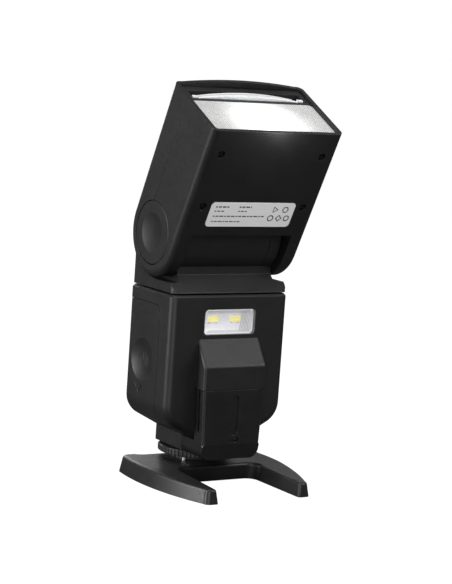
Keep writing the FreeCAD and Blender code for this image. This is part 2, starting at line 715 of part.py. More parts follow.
# ---- neck ---------------------------------------------------------------------------
def neck_block():
    """A cradle that rises behind the head, with a sloped wedge and a stem up to the barrel."""
    front = BODY_FRONT + 0.4
    rear = BODY_REAR - 0.4
    crown_y = TILT_Y - STEM_HALF
    end_y = front + (crown_y - front) * (NECK_END_TOP - NECK_EDGE_Z) / (NECK_CROWN_Z - NECK_EDGE_Z)
    profile = [(front, NECK_LOW, 0), (TILT_Y + STEM_HALF, NECK_LOW, 0),
               (TILT_Y + STEM_HALF, STEM_TOP_Z, 0), (crown_y, STEM_TOP_Z, 0),
               (crown_y, NECK_CROWN_Z, 0), (front, NECK_EDGE_Z, 0)]
    wedge = prism("yz", profile, -WEDGE_HALF, WEDGE_HALF)
    cradle_profile = [(front, NECK_LOW, 0), (rear, NECK_LOW, 0), (rear, CRADLE_TOP, 0),
                      (CRADLE_Y, CRADLE_TOP, 0), (CRADLE_Y, NECK_END_TOP, 0), (end_y, NECK_END_TOP, 0),
                      (front, NECK_EDGE_Z, 0)]
    cradle = prism("yz", cradle_profile, -NECK_HALF, NECK_HALF)
    cradle = cradle.cut(rod(V(-60.0, CRADLE_Y, NECK_END_TOP + CRADLE_RADIUS), X_AXIS, CRADLE_RADIUS, 120.0))
    plan = slab("xy", -NECK_HALF, NECK_HALF, front, rear, 90.0, 130.0, 3.8)
    return fuse([wedge, cradle]).common(plan)


def neck_cavity():
    """Hollow of the stem, open to the barrel above, and of the cradle's rise, open below."""
    stem = STEM_HALF - 2.0
    half = WEDGE_HALF - 2.0
    rise = box(-half, half, TILT_Y - stem, TILT_Y + stem, NECK_LOW + 1.8, STEM_TOP_Z)
    rear_half = NECK_HALF - 2.0
    rear_rise = prism("yz", [(8.6, NECK_LOW - 1.0, 0), (15.3, NECK_LOW - 1.0, 0), (15.3, 114.4, 0),
                             (8.6, 109.2, 0)], -rear_half, rear_half)
    return rise.fuse(rear_rise)


def make_neck():
    """Both halves of the neck in one, with the barrel that the head tilts on."""
    start = V(-BARREL_HALF, TILT_Y, TILT_Z)
    length = BARREL_HALF + DRUM_START - DRUM_GAP
    barrel = rod(start, X_AXIS, BARREL_RADIUS, length)
    hub = rod(V(0, NECK_Y, 96.0), Z_AXIS, HUB_RADIUS, 7.0)
    drum_room = rod(V(DRUM_START - DRUM_GAP, TILT_Y, TILT_Z), X_AXIS, BARREL_RADIUS + 0.1, 20.0)
    outer = neck_block().cut(drum_room).fuse(barrel).fuse(hub)
    hollow = rod(start + X_AXIS * 2.0, X_AXIS, BARREL_RADIUS - 2.2, length - 4.0)
    wire_way = rod(V(0, NECK_Y, 95.0), Z_AXIS, 8.0, 12.0)
    axle_hole = rod(V(-60, TILT_Y, TILT_Z), X_AXIS, AXLE_RADIUS + 0.05, 120.0)
    return outer.cut(neck_cavity()).cut(hollow).cut(wire_way).cut(axle_hole)


def make_neck_front(neck):
    return group(neck.common(box(-60, 60, -60, NECK_SPLIT_Y - 0.03, 0, 200)).Solids)


def make_neck_rear(neck):
    return group(neck.common(box(-60, 60, NECK_SPLIT_Y + 0.03, 60, 0, 200)).Solids)


def make_swivel_ring():
    return tube(V(0, NECK_Y, 96.4), Z_AXIS, 16.6, HUB_RADIUS, 1.6)


def make_swivel_spring():
    return tube(V(0, NECK_Y, 98.0), Z_AXIS, 15.8, 13.4, 0.9)


def make_detent_drum():
    length = DRUM_END - DRUM_START
    drum = rod(V(DRUM_START, TILT_Y, TILT_Z), X_AXIS, BARREL_RADIUS, length)
    drum = round_edges(drum, 0.5, edge_in_x(DRUM_END))
    hollow = rod(V(DRUM_START + 2.0, TILT_Y, TILT_Z), X_AXIS, BARREL_RADIUS - 2.2, length - 4.0)
    return drum.cut(hollow).cut(rod(V(0, TILT_Y, TILT_Z), X_AXIS, AXLE_RADIUS + 0.05, 60.0))


def make_detent_plate():
    """Toothed plate between the drum and the ear."""
    plate = rod(V(DRUM_END + 0.05, TILT_Y, TILT_Z), X_AXIS, 12.0, 1.3)
    for i in range(24):
        tooth = rod(V(DRUM_END, TILT_Y, TILT_Z + 12.0), X_AXIS, 0.8, 2.0)
        tooth.rotate(V(0, TILT_Y, TILT_Z), X_AXIS, i * 15.0)
        plate = plate.cut(tooth)
    return plate.cut(rod(V(0, TILT_Y, TILT_Z), X_AXIS, AXLE_RADIUS + 0.05, 60.0))


# ---- head, in its own upright frame: axis at the origin, lens end up, front at -Y ----
def head_block(inset, half):
    radius = HEAD_END_RADIUS - inset
    lean = (HEAD_REAR_TIP - HEAD_END_RADIUS) / HEAD_LENGTH
    top = HEAD_LENGTH + (20.0 if inset > 0 else 0.0)
    rear_top = radius + lean * top
    edges = [Part.makeLine(V(half, -radius, 0), V(half, -radius, top)),
             Part.makeLine(V(half, -radius, top), V(half, rear_top, top)),
             Part.makeLine(V(half, rear_top, top), V(half, radius, 0)),
             Part.Arc(V(half, radius, 0), V(half, 0, -radius), V(half, -radius, 0)).toShape()]
    face = Part.Face(Part.Wire(Part.__sortEdges__(edges)))
    block = face.extrude(V(-2 * half, 0, 0))
    long_edges = [edge for edge in block.Edges
                  if (edge_in_x(half)(edge) or edge_in_x(-half)(edge)) and not edge_in_z(top)(edge)]
    return block.makeFillet(3.6 - min(inset, 2.0), long_edges)


def open_sector():
    """Room for the neck under the head, from the front cut-out round to the back."""
    return prism("yz", [(-40.0, CUTOUT_EDGE, 0), (0.0, CUTOUT_EDGE, 0), (0.0, 0.0, 0), (40.0, -40.0, 0),
                        (-40.0, -40.0, 0)], -EAR_INNER, EAR_INNER)


def make_head_case():
    """Both head shells in one, before they are split."""
    outer = head_block(0.0, HEAD_HALF)
    shell = outer.cut(head_block(WALL, HEAD_HALF - WALL))
    ear_walls = []
    for x in (-EAR_INNER - 2.0, EAR_INNER):
        wall = box(x, x + 2.0, -30.0, 30.0, -30.0, 22.4)
        ear_walls.append(wall.common(head_block(1.0, HEAD_HALF)))
    saddle = tube(V(-EAR_INNER - 1.0, 0, 0), X_AXIS, BARREL_RADIUS + 2.4, BARREL_RADIUS + 0.6,
                  2 * EAR_INNER + 2.0).common(outer)
    shell = fuse([shell, saddle] + ear_walls)
    for x, z in head_screw_places():
        shell = shell.fuse(rod(V(x, HEAD_FRONT + 1.0, z), Y_AXIS, 3.4, 4.6))
    shell = fuse([shell, rear_lip()])
    shell = shell.cut(rod(V(-EAR_INNER, 0, 0), X_AXIS, BARREL_RADIUS + 0.6, 2 * EAR_INNER))
    shell = shell.cut(open_sector())
    for start in (-HEAD_HALF - 1.0, HEAD_HALF - 5.5):
        shell = shell.cut(rod(V(start, 0, 0), X_AXIS, CAP_RADIUS + 0.3, 6.5))
    shell = shell.cut(rod(V(-60, 0, 0), X_AXIS, AXLE_RADIUS, 120.0))
    for x, z in head_screw_places():
        shell = shell.cut(rod(V(x, HEAD_FRONT - 1.0, z), Y_AXIS, 2.2, 4.4))
        shell = shell.cut(rod(V(x, HEAD_FRONT, z), Y_AXIS, 0.9, 5.2))
    return shell


def head_screw_places():
    return [(x, z) for x in (-30.5, 30.5) for z in (31.5, 62.7)]


def arched_plate(x0, x1, y, low, high, rise, thickness):
    """Plate in the xz plane whose top edge bows up by rise in its middle."""
    left = V(x0, y, high)
    right = V(x1, y, high)
    crown = V((x0 + x1) / 2, y, high + rise)
    edges = [Part.makeLine(V(x0, y, low), V(x1, y, low)), Part.makeLine(V(x1, y, low), right),
             Part.Arc(right, crown, left).toShape(), Part.makeLine(left, V(x0, y, low))]
    return Part.Face(Part.Wire(Part.__sortEdges__(edges))).extrude(V(0, thickness, 0))


def rear_lip():
    """Rear rim, bowed up in its middle."""
    rise = 2.2
    half = 35.0
    low = HEAD_LENGTH - 0.5
    return arched_plate(-half, half, 23.0, low, HEAD_LENGTH, rise, 2.1)


def front_region(gap):
    return box(-60, 60, -60, HEAD_SPLIT_Y - gap, HEAD_SPLIT_Z + gap, 200)


def make_head_front(case):
    return largest_solid(case.common(front_region(0.03)))


def make_head_rear(case):
    return largest_solid(case.cut(front_region(-0.03)))


def make_hinge_cap(side):
    """Round cap with a shallow dish; its boss rests on the ear's inner wall."""
    disc = rod(V(HEAD_HALF - 2.4, 0, 0), X_AXIS, CAP_RADIUS, 2.4)
    disc = round_edges(disc, 0.5, edge_in_x(HEAD_HALF))
    boss = rod(V(EAR_INNER + 2.0, 0, 0), X_AXIS, 8.5, HEAD_HALF - 2.4 - EAR_INNER - 2.0)
    depth = 1.5
    dish_radius = 10.6
    ball = (dish_radius ** 2 + depth ** 2) / (2 * depth)
    cap = fuse([disc, boss]).cut(Part.makeSphere(ball, V(HEAD_HALF + ball - depth, 0, 0)))
    cap = cap.cut(rod(V(0, 0, 0), X_AXIS, AXLE_RADIUS + 0.1, HEAD_HALF - 3.6))
    return cap if side > 0 else mirror_x(cap)


def make_tilt_axle():
    return tube(V(-HEAD_HALF + 3.8, 0, 0), X_AXIS, AXLE_RADIUS, 3.2, 2 * HEAD_HALF - 7.6)


def make_fresnel_lens():
    """Clear lens with a fine row of straight ribs on its inner face."""
    pane = slab("xy", -36.8, 36.8, -20.6, 8.6, 73.6, 75.2, 2.4)
    pane = round_edges(pane, 0.3, edge_in_z(75.2))
    ribs = []
    for i in range(18):
        y = -19.0 + i * 1.5
        ribs.append(prism("yz", [(y - 0.7, 73.7, 0), (y + 0.7, 73.7, 0), (y, 73.1, 0)], -35.0, 35.0))
    return pane.multiFuse(ribs)


def make_lens_frame():
    """Frame under the lens, and the dark strip behind it with the slot for the panels."""
    plate = slab("xy", -36.8, 36.8, -20.6, 22.7, 70.8, 73.0, 2.0)
    window = slab("xy", -34.6, 34.6, -18.6, 7.4, 60.0, 90.0, 1.5)
    strip = prism("xy", [(-36.8, 8.8, 0), (36.8, 8.8, 0), (36.8, 22.7, 2.0), (-36.8, 22.7, 2.0)], 73.0, 75.0)
    slot = box(-34.2, 34.2, 11.0, 19.0, 60.0, 90.0)
    return fuse([plate, strip]).cut(window).cut(slot)


def make_reflector():
    """Polished trough around the flash tube."""
    outer = [(-19.2, 70.7, 0), (-11.0, 55.5, 3.0), (-1.0, 55.5, 3.0), (7.2, 70.7, 0)]
    inner = [(-18.4, 70.8, 0), (-10.6, 56.4, 2.6), (-1.4, 56.4, 2.6), (6.4, 70.8, 0)]
    trough = prism("yz", outer, -33.6, 33.6).cut(prism("yz", inner, -32.8, 32.8))
    holes = rod(V(-40, -6.0, 61.0), X_AXIS, 2.7, 80.0)
    return trough.cut(holes)


def make_flash_tube():
    return rod(V(-34.8, -6.0, 61.0), X_AXIS, 2.3, 69.6)


def make_tube_boots():
    boots = []
    for start in (-35.6, 33.7):
        boots.append(tube(V(start, -6.0, 61.0), X_AXIS, 4.0, 2.3, 1.9))
    return group(boots)


def make_trigger_board():
    return box(-26.0, 26.0, -16.0, -14.6, 30.0, 52.0)


def make_trigger_coil():
    return rod(V(-14.0, -11.2, 34.0), Z_AXIS, 3.4, 14.0)


def make_wide_panel():
    """Clear panel with an arched outer edge and a tab at each end."""
    pane = arched_plate(-30.5, 30.5, 12.0, 30.0, 74.2, 2.4, 1.8)
    tabs = [box(-33.6, -30.5, 12.0, 13.8, 70.0, 75.2), box(30.5, 33.6, 12.0, 13.8, 70.0, 75.2)]
    return fuse([pane] + tabs)


def make_bounce_card():
    return arched_plate(-29.5, 29.5, 15.6, 30.0, 73.6, 2.6, 0.7)


def make_head_screws():
    screws = []
    for x, z in head_screw_places():
        screws.append(screw(V(x, HEAD_FRONT + 5.0, z), V(0, -1, 0), 3.4, 0.85, 2.1, 1.5))
    return group(screws)


def make_rating_label():
    return slab("xz", -25.7, 25.7, 19.5, 34.3, HEAD_FRONT - 0.2, HEAD_FRONT, 2.2)


# ---- build and write ----------------------------------------------------------------
def build():
    parts = {}
    parts["stand_base"] = make_stand_base()
    parts["cold_shoe"] = make_cold_shoe()
    parts["shoe_screws"] = make_shoe_screws()
    parts["stand_insert"] = make_stand_insert()

    parts["foot_plate"] = make_foot_plate()
    parts["contact_pin"] = make_contact_pin()
    parts["clamp_plate"] = make_clamp_plate()
    parts["lock_wheel"] = make_lock_wheel()
    parts["foot_block"] = make_foot_block()
    parts["foot_screws"] = make_foot_screws()

    case = make_case()
    parts["front_shell"] = make_front_shell(case)
    parts["rear_shell"] = make_rear_shell(case)
    parts["front_cover"] = make_front_cover()
    parts["photo_sensor"] = make_photo_sensor()
    parts["sensor_board"] = make_sensor_board()
    parts["lamp_window"] = make_lamp_window()
    parts["lamp_tray"] = make_lamp_tray()
    parts["lamp_chips"] = make_lamp_chips()
    parts["lamp_board"] = make_lamp_board()
    parts["battery_tray"] = make_battery_tray()
    parts["tray_contacts"] = make_tray_contacts()
    parts["main_capacitor"] = make_main_capacitor()
    parts["main_board"] = make_main_board()
    parts["boost_transformer"] = make_transformer()
    parts["control_board"] = make_control_board()
    parts["tact_switches"] = make_tact_switches()
    parts["display_module"] = make_display_module()
    parts["display_window"] = make_display_window()
    for name, place in zip(("mode", "minus", "plus", "test"), button_places()):
        parts["button_" + name] = make_button(place)
    parts["power_switch"] = make_power_switch()
    parts["body_screws"] = make_body_screws()
    parts["battery_door"] = make_battery_door()
    parts["door_pin"] = make_door_pin()
    parts["door_contacts"] = make_door_contacts()

    neck = make_neck()
    parts["neck_front"] = make_neck_front(neck)
    parts["neck_rear"] = make_neck_rear(neck)
    parts["swivel_ring"] = make_swivel_ring()
    parts["swivel_spring"] = make_swivel_spring()
    parts["detent_drum"] = make_detent_drum()
    parts["detent_plate"] = make_detent_plate()

    head_case = make_head_case()
    head = {
        "head_front_shell": make_head_front(head_case),
        "head_rear_shell": make_head_rear(head_case),
        "hinge_cap_left": make_hinge_cap(-1),
        "hinge_cap_right": make_hinge_cap(1),
        "tilt_axle": make_tilt_axle(),
        "fresnel_lens": make_fresnel_lens(),
        "lens_frame": make_lens_frame(),
        "reflector": make_reflector(),
        "flash_tube": make_flash_tube(),
        "tube_boots": make_tube_boots(),
        "trigger_board": make_trigger_board(),
        "trigger_coil": make_trigger_coil(),
        "wide_panel": make_wide_panel(),
        "bounce_card": make_bounce_card(),
        "head_screws": make_head_screws(),
        "rating_label": make_rating_label(),
    }
    for name, shape in head.items():
        parts[name] = place_head(shape)
    return parts


def main():
    os.makedirs("parts", exist_ok=True)
    for name, shape in build().items():
        shape.exportStep(os.path.join("parts", name + ".step"))
        size = shape.BoundBox
        print("%-18s solids %2d valid %s  x %.1f %.1f  y %.1f %.1f  z %.1f %.1f" % (
            name, len(shape.Solids), shape.isValid(), size.XMin, size.XMax, size.YMin, size.YMax,
            size.ZMin, size.ZMax))


main()
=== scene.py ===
import bmesh
import bpy
import json
import math
from mathutils import Matrix, Vector

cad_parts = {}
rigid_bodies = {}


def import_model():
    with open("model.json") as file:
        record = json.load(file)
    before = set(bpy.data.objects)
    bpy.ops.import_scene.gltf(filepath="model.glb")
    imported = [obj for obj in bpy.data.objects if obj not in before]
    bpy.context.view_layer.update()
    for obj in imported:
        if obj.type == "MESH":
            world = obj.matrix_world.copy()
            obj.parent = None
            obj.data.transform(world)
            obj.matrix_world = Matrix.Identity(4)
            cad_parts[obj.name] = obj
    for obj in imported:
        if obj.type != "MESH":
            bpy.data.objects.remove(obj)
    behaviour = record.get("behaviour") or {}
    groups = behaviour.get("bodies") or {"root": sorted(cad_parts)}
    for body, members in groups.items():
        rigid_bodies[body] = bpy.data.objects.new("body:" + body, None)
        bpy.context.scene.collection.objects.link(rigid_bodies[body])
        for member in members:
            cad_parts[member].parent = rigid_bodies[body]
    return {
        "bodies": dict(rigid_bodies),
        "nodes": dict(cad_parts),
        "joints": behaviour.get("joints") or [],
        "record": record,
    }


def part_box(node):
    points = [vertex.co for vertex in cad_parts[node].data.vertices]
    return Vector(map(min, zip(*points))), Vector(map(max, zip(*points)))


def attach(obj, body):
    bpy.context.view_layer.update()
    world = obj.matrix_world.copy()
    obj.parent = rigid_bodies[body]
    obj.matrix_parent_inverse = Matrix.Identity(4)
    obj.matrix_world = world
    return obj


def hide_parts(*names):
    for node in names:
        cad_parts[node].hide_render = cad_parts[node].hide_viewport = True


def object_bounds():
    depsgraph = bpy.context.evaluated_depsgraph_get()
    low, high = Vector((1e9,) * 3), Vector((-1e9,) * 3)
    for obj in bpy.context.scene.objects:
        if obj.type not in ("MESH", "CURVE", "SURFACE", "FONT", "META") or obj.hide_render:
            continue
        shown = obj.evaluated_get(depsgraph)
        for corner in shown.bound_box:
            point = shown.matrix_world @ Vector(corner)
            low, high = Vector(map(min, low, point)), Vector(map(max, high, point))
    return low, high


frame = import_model()
cad_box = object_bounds()
cad = frame["nodes"]
record = frame["record"]
joints = {joint["name"]: joint for joint in frame["joints"]}

MM = 0.001

# ---- places worked out from the frame -------------------------------------------------
TILT_AXIS = Vector(joints["head_tilt"]["pos_m"])
AIM = Vector(joints["panel_slide"]["axis"])
LEAN = math.atan2(-AIM.y, AIM.z)
HEAD = Matrix.Translation(TILT_AXIS) @ Matrix.Rotation(LEAN, 4, "X")
SHELL_SEAM_Y = (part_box("front_shell")[1].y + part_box("rear_shell")[0].y) / 2

# ---- head sizes in its own upright frame, millimetres ---------------------------------
HEAD_FRONT = -23.0
HEAD_SEAM_Y = 7.5
HEAD_SEAM_Z = 7.5
LENS_HALF = 36.8
LENS_FRONT = -20.6
LENS_REAR = 8.6
LENS_TOP = 75.2
LENS_PITCH = 1.2

# ---- lamp sizes, millimetres ----------------------------------------------------------
CHIP_HALF = 3.9
TRAY_RIB_BACK = 3.15
TRAY_RIB_FRONT = 3.35
TRAY_RIB_LOW = 81.8
TRAY_RIB_HIGH = 92.2
TRAY_RIB_LEAN = 1.0
TRAY_RIB_WIDTH = 0.14
LEDGE_WIDTH = 0.16

# ---- camera and light -----------------------------------------------------------------
CAMERA_AZIMUTH = -32.214
CAMERA_ELEVATION = 7.752
CAMERA_ROLL = 3.903
CAMERA_PLACE = (-0.541652, -0.881797, 0.240312)
CAMERA_LENS = 119.69
AMBIENT = 0.13


# ---- node helpers ---------------------------------------------------------------------
def new_material(name):
    material = bpy.data.materials.new(name)
    material.use_nodes = True
    return material, material.node_tree, material.node_tree.nodes["Principled BSDF"]


def add(tree, kind, inputs=None, **options):
    """A node with its options and its input values or links set."""
    made = tree.nodes.new(kind)
    for key, value in options.items():
        setattr(made, key, value)
    for key, value in (inputs or {}).items():
        feed(tree, value, made.inputs[key])
    return made


def feed(tree, value, socket):
    if isinstance(value, bpy.types.NodeSocket):
        tree.links.new(value, socket)
    else:
        socket.default_value = value


def calc(tree, operation, a, b=0.0, clamp=False):
    return add(tree, "ShaderNodeMath", {0: a, 1: b}, operation=operation, use_clamp=clamp).outputs[0]


def blend_colors(tree, factor, a, b):
    mix = add(tree, "ShaderNodeMix", data_type="RGBA")
    feed(tree, factor, mix.inputs[0])
    feed(tree, a, mix.inputs[6])
    feed(tree, b, mix.inputs[7])
    return mix.outputs[2]


def remap(tree, value, low, high, to_low, to_high):
    made = add(tree, "ShaderNodeMapRange", {0: value, 1: low, 2: high, 3: to_low, 4: to_high})
    return made.outputs[0]


def place_coords(tree):
    return add(tree, "ShaderNodeTexCoord").outputs["Object"]


def head_coords(tree):
    """Coordinates in the head's own upright frame, in millimetres."""
    moved = add(tree, "ShaderNodeVectorMath", {0: place_coords(tree), 1: TILT_AXIS}, operation="SUBTRACT")
    turned = add(tree, "ShaderNodeVectorRotate", {"Vector": moved.outputs[0], "Angle": -LEAN},
                 rotation_type="X_AXIS")
    scaled = add(tree, "ShaderNodeVectorMath", {0: turned.outputs[0], 1: (1000.0, 1000.0, 1000.0)},
                 operation="MULTIPLY")
    return scaled.outputs[0]


def noise(tree, coords, size_mm, detail=2.0, roughness=0.5):
    made = add(tree, "ShaderNodeTexNoise", {"Vector": coords, "Scale": 1.0 / (size_mm * MM),
                                            "Detail": detail, "Roughness": roughness})
    return made.outputs["Fac"]


def split(tree, vector):
    return add(tree, "ShaderNodeSeparateXYZ", {0: vector}).outputs


def gray(level, alpha=1.0):
    return (level, level, level, alpha)


def bump_and_edge(tree, shader, height, strength, depth_mm, edge_mm):
    """Relief over slightly rounded edges; returns how much of an edge a point is."""
    bevel = add(tree, "ShaderNodeBevel", {"Radius": edge_mm * MM}, samples=4)
    bump = add(tree, "ShaderNodeBump", {"Strength": strength, "Distance": depth_mm * MM, "Height": height,
                                        "Normal": bevel.outputs[0]})
    tree.links.new(bump.outputs[0], shader.inputs["Normal"])
    geometry = add(tree, "ShaderNodeNewGeometry")
    match = add(tree, "ShaderNodeVectorMath", {0: bevel.outputs[0], 1: geometry.outputs["Normal"]},
                operation="DOT_PRODUCT")
    return remap(tree, match.outputs["Value"], 0.995, 0.9, 0.0, 1.0)


# ---- materials ------------------------------------------------------------------------
def seam_line(tree, distance, width_mm):
    """1 on a parting line, 0 beside it."""
    near = calc(tree, "ABSOLUTE", distance)
    return remap(tree, near, width_mm * 0.4, width_mm * 0.6, 1.0, 0.0)


def case_seam(tree):
    """The parting line round the body, at the joint of its two shells."""
    y = split(tree, place_coords(tree))[1]
    offset = calc(tree, "MULTIPLY", calc(tree, "SUBTRACT", y, SHELL_SEAM_Y), 1000.0)
    return seam_line(tree, offset, 0.4)


def head_seam(tree):
    """The head's parting line: up each side, and forward along the top of each ear."""
    axes = split(tree, head_coords(tree))
    upright = seam_line(tree, calc(tree, "SUBTRACT", axes[1], HEAD_SEAM_Y), 0.5)
    level = seam_line(tree, calc(tree, "SUBTRACT", axes[2], HEAD_SEAM_Z), 0.5)
    above = calc(tree, "GREATER_THAN", axes[2], HEAD_SEAM_Z)
    ahead = calc(tree, "LESS_THAN", axes[1], HEAD_SEAM_Y)
    return calc(tree, "MAXIMUM", calc(tree, "MULTIPLY", upright, above), calc(tree, "MULTIPLY", level, ahead))


def moulded(name, dark, light, roughness, grain_mm=0.35, relief=0.35, wear=0.5, seam=None, specular=0.4):
    """Moulded plastic: spark-eroded grain, faint mottling, and edges rubbed a little smoother."""
    material, tree, shader = new_material(name)
    coords = place_coords(tree)
    cloud = noise(tree, coords, 14.0, 3.0)
    grain = noise(tree, coords, grain_mm, 3.0, 0.6)
    dust = noise(tree, coords, 1.6, 2.0)
    edge = bump_and_edge(tree, shader, grain, relief, 0.06, 0.35)
    color = blend_colors(tree, remap(tree, cloud, 0.3, 0.7, 0.0, 1.0), dark, light)
    rubbed = calc(tree, "MULTIPLY", edge, wear)
    edge_color = tuple(min(1.0, c * 2.2) for c in light[:3]) + (1.0,)
    color = blend_colors(tree, rubbed, color, edge_color)
    if seam is not None:
        color = blend_colors(tree, seam(tree), color, gray(0.001))
    tree.links.new(color, shader.inputs["Base Color"])
    spread = calc(tree, "ADD", remap(tree, dust, 0.3, 0.7, -0.05, 0.05), roughness)
    smooth = calc(tree, "MULTIPLY", rubbed, 0.16)
    tree.links.new(calc(tree, "SUBTRACT", spread, smooth, True), shader.inputs["Roughness"])
    shader.inputs["Specular IOR Level"].default_value = specular
    return material


def rubber(name, dark, light):
    """Silicone: soft sheen, very fine grain and a trace of dust."""
    material, tree, shader = new_material(name)
    coords = place_coords(tree)
    dust = noise(tree, coords, 0.9, 4.0)
    grain = noise(tree, coords, 0.15, 2.0)
    bump_and_edge(tree, shader, grain, 0.2, 0.03, 0.3)
    tree.links.new(blend_colors(tree, dust, dark, light), shader.inputs["Base Color"])
    tree.links.new(remap(tree, dust, 0.3, 0.7, 0.55, 0.7), shader.inputs["Roughness"])
    shader.inputs["Sheen Weight"].default_value = 0.15
    return material


def brushed(name, base, roughness, stretch=(1.0, 40.0, 40.0)):
    """Sheet metal with fine lengthwise brushing and a few duller patches."""
    material, tree, shader = new_material(name)
    coords = place_coords(tree)
    drawn = add(tree, "ShaderNodeVectorMath", {0: coords, 1: stretch}, operation="MULTIPLY")
    streaks = noise(tree, drawn.outputs[0], 6.0, 4.0, 0.7)
    patches = noise(tree, coords, 3.0, 2.0)
    bump_and_edge(tree, shader, streaks, 0.25, 0.02, 0.2)
    dull = tuple(c * 0.72 for c in base[:3]) + (1.0,)
    tree.links.new(blend_colors(tree, streaks, dull, base), shader.inputs["Base Color"])
    gloss = remap(tree, patches, 0.3, 0.7, roughness - 0.06, roughness + 0.1)
    tree.links.new(gloss, shader.inputs["Roughness"])
    shader.inputs["Metallic"].default_value = 1.0
    return material


def clear_plastic(name, tint, alpha, roughness=0.08):
    """Clear or smoked acrylic: a thin film with faint ripples and hairline scratches."""
    material, tree, shader = new_material(name)
    coords = place_coords(tree)
    ripple = noise(tree, coords, 3.0, 1.0)
    drawn = add(tree, "ShaderNodeVectorMath", {0: coords, 1: (3.0, 60.0, 60.0)}, operation="MULTIPLY")
    scratches = noise(tree, drawn.outputs[0], 4.0, 4.0, 0.8)
    bump_and_edge(tree, shader, ripple, 0.15, 0.02, 0.25)
    darker = tuple(c * 0.94 for c in tint[:3]) + (1.0,)
    tree.links.new(blend_colors(tree, ripple, darker, tint), shader.inputs["Base Color"])
    tree.links.new(remap(tree, scratches, 0.5, 0.8, roughness, roughness + 0.15), shader.inputs["Roughness"])
    shader.inputs["Alpha"].default_value = alpha
    shader.inputs["IOR"].default_value = 1.49
    return material


def circuit_board(name):
    """Solder mask over copper tracks, with bare pads here and there."""
    material, tree, shader = new_material(name)
    coords = place_coords(tree)
    cells = add(tree, "ShaderNodeTexVoronoi", {"Vector": coords, "Scale": 420.0}, distance="MANHATTAN")
    tracks = remap(tree, cells.outputs["Distance"], 0.32, 0.36, 0.0, 1.0)
    color = blend_colors(tree, tracks, (0.012, 0.10, 0.045, 1.0), (0.03, 0.19, 0.085, 1.0))
    pads = calc(tree, "LESS_THAN", cells.outputs["Distance"], 0.07)
    color = blend_colors(tree, pads, color, (0.62, 0.60, 0.55, 1.0))
    bump_and_edge(tree, shader, tracks, 0.2, 0.03, 0.1)
    tree.links.new(color, shader.inputs["Base Color"])
    shader.inputs["Roughness"].default_value = 0.38
    return material


def fresnel_glow(name):
    """Lit ribbed lens: white hot in its middle, with its crossed ribs showing towards the ends."""
    material, tree, shader = new_material(name)
    axes = split(tree, head_coords(tree))
    along = calc(tree, "DIVIDE", axes[0], 20.0)
    across = calc(tree, "DIVIDE", calc(tree, "SUBTRACT", axes[1], LENS_FRONT + 8.0), 21.0)
    distance = calc(tree, "SQRT", calc(tree, "ADD", calc(tree, "POWER", along, 2.0),
                                       calc(tree, "POWER", across, 2.0)))
    heat = remap(tree, distance, 0.2, 1.5, 1.0, 0.0)
    angle = 2 * math.pi / LENS_PITCH
    waves = calc(tree, "MULTIPLY", calc(tree, "COSINE", calc(tree, "MULTIPLY", axes[0], angle)),
                 calc(tree, "COSINE", calc(tree, "MULTIPLY", axes[1], angle)))
    hatch = remap(tree, waves, -0.6, 0.6, 0.45, 1.0)
    soft = add(tree, "ShaderNodeMix", {0: calc(tree, "POWER", heat, 0.6), 2: hatch, 3: 1.0})
    veil = noise(tree, place_coords(tree), 9.0, 2.0)
    level = calc(tree, "MULTIPLY", soft.outputs[0], remap(tree, veil, 0.2, 0.8, 0.9, 1.1))
    power = calc(tree, "MULTIPLY", level, remap(tree, calc(tree, "POWER", heat, 2.2), 0.0, 1.0, 0.33, 3.4))
    tree.links.new(blend_colors(tree, level, gray(0.12), gray(0.40)), shader.inputs["Base Color"])
    tree.links.new(power, shader.inputs["Emission Strength"])
    shader.inputs["Emission Color"].default_value = (1.0, 0.995, 0.98, 1.0)
    shader.inputs["Roughness"].default_value = 0.18
    bump_and_edge(tree, shader, waves, 0.3, 0.1, 0.2)
    return material


def white_with_painted_glow(name, base, glow, roughness=0.35, cloud_mm=2.5):
    """White part with a painted glow: a faint emission brightens it as if more light fell on it."""
    material, tree, shader = new_material(name)
    coords = place_coords(tree)
    cloud = noise(tree, coords, cloud_mm, 3.0)
    darker = tuple(c * 0.9 for c in base[:3]) + (1.0,)
    tree.links.new(blend_colors(tree, cloud, darker, base), shader.inputs["Base Color"])
    bump_and_edge(tree, shader, cloud, 0.15, 0.04, 0.2)
    tree.links.new(remap(tree, cloud, 0.3, 0.7, roughness, roughness + 0.12), shader.inputs["Roughness"])
    # painted glow: an emission in the part's own white stands in for light falling on it; the part is no lamp
    shader.inputs["Emission Color"].default_value = base
    tree.links.new(remap(tree, cloud, 0.3, 0.7, glow * 0.9, glow * 1.1), shader.inputs["Emission Strength"])
    return material


def phosphor(name):
    """Yellow phosphor gel with a fine speckle and a wet gloss."""
    material, tree, shader = new_material(name)
    coords = place_coords(tree)
    speckle = noise(tree, coords, 0.35, 3.0, 0.7)
    warm = blend_colors(tree, speckle, (0.95, 0.84, 0.20, 1.0), (0.98, 0.90, 0.36, 1.0))
    tree.links.new(warm, shader.inputs["Base Color"])
    # painted glow: a faint emission in the gel's own yellow brightens it beyond the light that falls on it
    tree.links.new(warm, shader.inputs["Emission Color"])
    shader.inputs["Emission Strength"].default_value = 0.35
    shader.inputs["Roughness"].default_value = 0.22
    bump_and_edge(tree, shader, speckle, 0.2, 0.03, 0.15)
    return material


def paper(name, base):
    """Printed foil with a slight orange-peel gloss."""
    material, tree, shader = new_material(name)
    coords = place_coords(tree)
    peel = noise(tree, coords, 0.7, 2.0)
    cloud = noise(tree, coords, 12.0, 2.0)
    darker = tuple(c * 0.93 for c in base[:3]) + (1.0,)
    tree.links.new(blend_colors(tree, cloud, darker, base), shader.inputs["Base Color"])
    bump_and_edge(tree, shader, peel, 0.12, 0.02, 0.1)
    tree.links.new(remap(tree, peel, 0.3, 0.7, 0.34, 0.46), shader.inputs["Roughness"])
    return material


